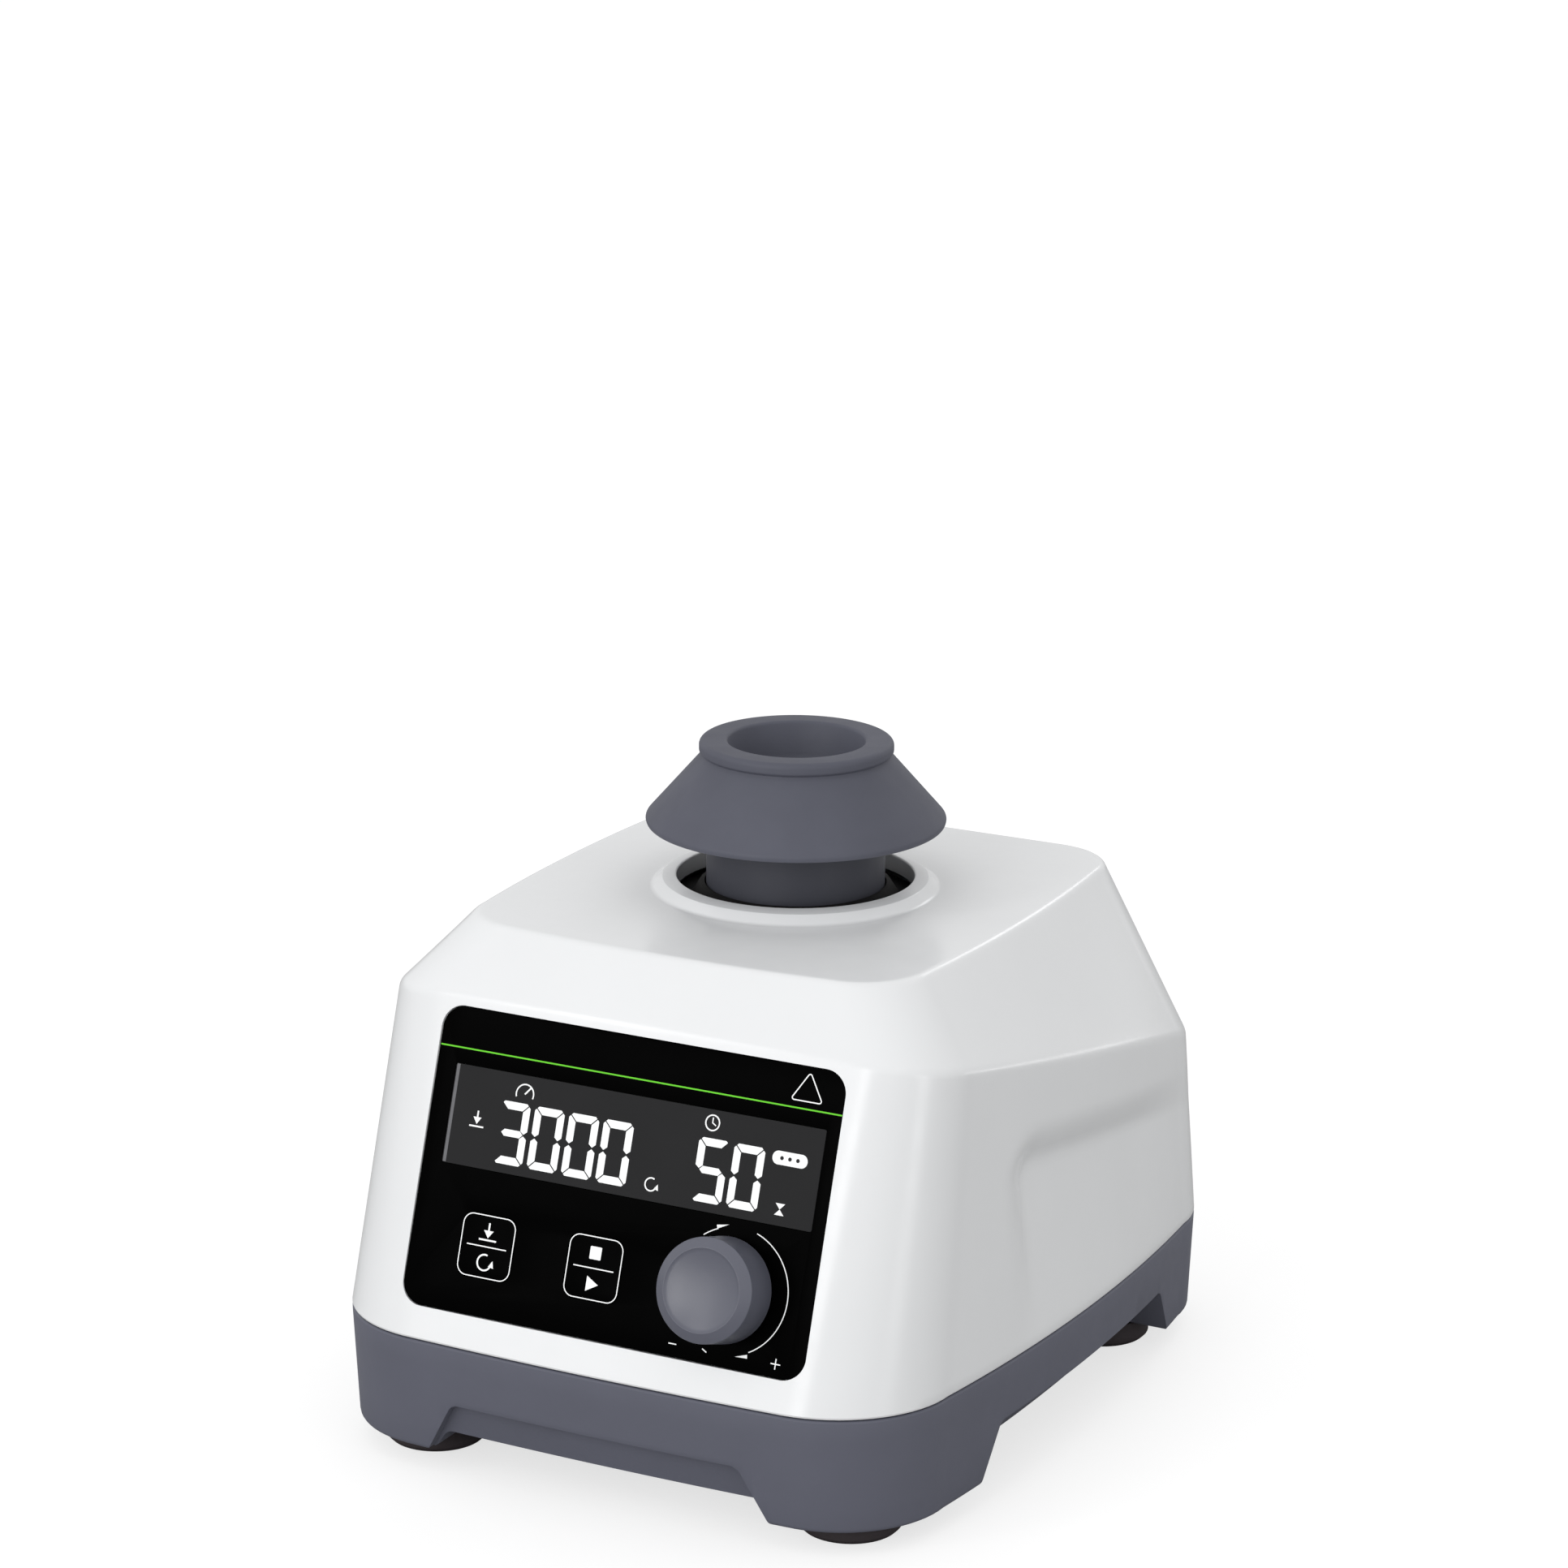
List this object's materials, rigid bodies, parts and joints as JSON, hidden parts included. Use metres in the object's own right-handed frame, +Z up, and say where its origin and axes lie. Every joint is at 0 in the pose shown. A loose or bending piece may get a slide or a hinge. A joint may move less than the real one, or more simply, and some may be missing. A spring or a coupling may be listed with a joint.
{
  "type": "vortex mixer",
  "caption": "Bench vortex mixer: rubber cup on a sprung eccentric motor head, sloping front panel with display, keys and knob, white housing on a grey footed base.",
  "frame": {"origin": "on the bench, under the middle of the object's box", "axes": "+Z up, the control panel faces -Y, +X to the right seen from the front"},
  "size_m": [0.12, 0.1498, 0.12],
  "materials": {
    "white_shell": "glossy white moulded plastic",
    "grey_base": "satin slate grey moulded plastic",
    "grey_knob": "satin slate grey moulded plastic",
    "grey_rubber": "matte slate grey rubber",
    "black_rubber": "matte black rubber",
    "foot_rubber": "matte dark rubber",
    "black_panel": "glossy black printed film",
    "display_lens": "smoked display window",
    "black_plastic": "satin black plastic",
    "circuit_board": "green circuit board",
    "steel": "brushed steel",
    "motor_steel": "zinc-plated steel"
  },
  "bodies": {
    "housing": {"upper_housing": "white_shell", "base_skirt": "grey_base", "ballast_plate": "steel", "touch_switch": "black_plastic", "switch_bracket": "steel", "panel_overlay": "black_panel", "display_lens": "display_lens", "lcd_module": "black_plastic", "control_board": "circuit_board", "mode_switch": "black_plastic", "run_switch": "black_plastic", "encoder_body": "motor_steel", "rocker_frame": "black_plastic", "power_jack": "black_plastic", "driver_board": "circuit_board", "foot_front_left": "foot_rubber", "housing_screw_front_left": "steel", "guide_post_front_left": "steel", "stop_nut_front_left": "steel", "return_spring_front_left": "steel", "foot_front_right": "foot_rubber", "housing_screw_front_right": "steel", "guide_post_front_right": "steel", "stop_nut_front_right": "steel", "return_spring_front_right": "steel", "foot_rear_left": "foot_rubber", "housing_screw_rear_left": "steel", "guide_post_rear_left": "steel", "stop_nut_rear_left": "steel", "return_spring_rear_left": "steel", "foot_rear_right": "foot_rubber", "housing_screw_rear_right": "steel", "guide_post_rear_right": "steel", "stop_nut_rear_right": "steel", "return_spring_rear_right": "steel"},
    "carriage": {"carriage_plate": "steel", "motor_can": "motor_steel", "motor_end_cap": "black_plastic", "motor_magnet_ring": "motor_steel", "motor_screw_left": "steel", "motor_screw_right": "steel"},
    "rotor": {"motor_armature": "motor_steel", "motor_shaft": "steel", "eccentric_hub": "steel", "bearing_inner_ring": "steel"},
    "head": {"bearing_outer_ring": "steel", "bearing_ball_cage": "steel", "head_adapter": "grey_rubber", "splash_skirt": "black_rubber", "rubber_cup": "grey_rubber"},
    "mode_key": {"mode_key": "black_panel"},
    "run_key": {"run_key": "black_panel"},
    "encoder_plunger": {"encoder_plunger": "black_plastic"},
    "knob": {"encoder_shaft": "steel", "control_knob": "grey_knob"},
    "rocker": {"power_rocker": "black_plastic"},
    "switch_lever": {"touch_switch_lever": "steel"}
  },
  "joints": [
    {"name": "touch_press", "type": "slide", "parent": "housing", "child": "carriage", "axis": [0, 0, 1], "range_m": [-0.002, 0], "stiffness_N_per_m": 4000, "springref_m": 0.005, "deforming": ["return_spring_front_left", "return_spring_front_right", "return_spring_rear_left", "return_spring_rear_right"]},
    {"name": "motor_spin", "type": "hinge", "parent": "carriage", "child": "rotor", "pos_m": [0, 0.0052, 0.07], "axis": [0, 0, 1], "continuous": true},
    {"name": "head_orbit", "type": "hinge", "parent": "rotor", "child": "head", "pos_m": [0.00093, 0.00343, 0.08], "axis": [0, 0, 1], "continuous": true},
    {"name": "mode_key_press", "type": "slide", "parent": "housing", "child": "mode_key", "axis": [0, -0.9494, 0.3142], "range_m": [-0.0004, 0], "stiffness_N_per_m": 1500, "springref_m": 0.0004},
    {"name": "run_key_press", "type": "slide", "parent": "housing", "child": "run_key", "axis": [0, -0.9494, 0.3142], "range_m": [-0.0004, 0], "stiffness_N_per_m": 1500, "springref_m": 0.0004},
    {"name": "knob_push", "type": "slide", "parent": "housing", "child": "encoder_plunger", "axis": [0, -0.9494, 0.3142], "range_m": [-0.0005, 0], "stiffness_N_per_m": 3000, "springref_m": 0.0008},
    {"name": "knob_turn", "type": "hinge", "parent": "encoder_plunger", "child": "knob", "pos_m": [0.023, -0.06708, 0.04438], "axis": [0, -0.9494, 0.3142], "continuous": true},
    {"name": "rocker_tip", "type": "hinge", "parent": "housing", "child": "rocker", "pos_m": [0.02, 0.07043, 0.03997], "axis": [1, 0, 0], "range_deg": [-16, 0]},
    {"name": "lever_swing", "type": "hinge", "parent": "housing", "child": "switch_lever", "pos_m": [-0.009, 0.0342, 0.053], "axis": [0, 1, 0], "range_deg": [0, 6.8]}
  ],
  "couplings": [
    {"joint": "head_orbit", "follows": "motor_spin", "ratio": -1},
    {"joint": "lever_swing", "follows": "touch_press", "rad_per_m": -55.5}
  ]
}
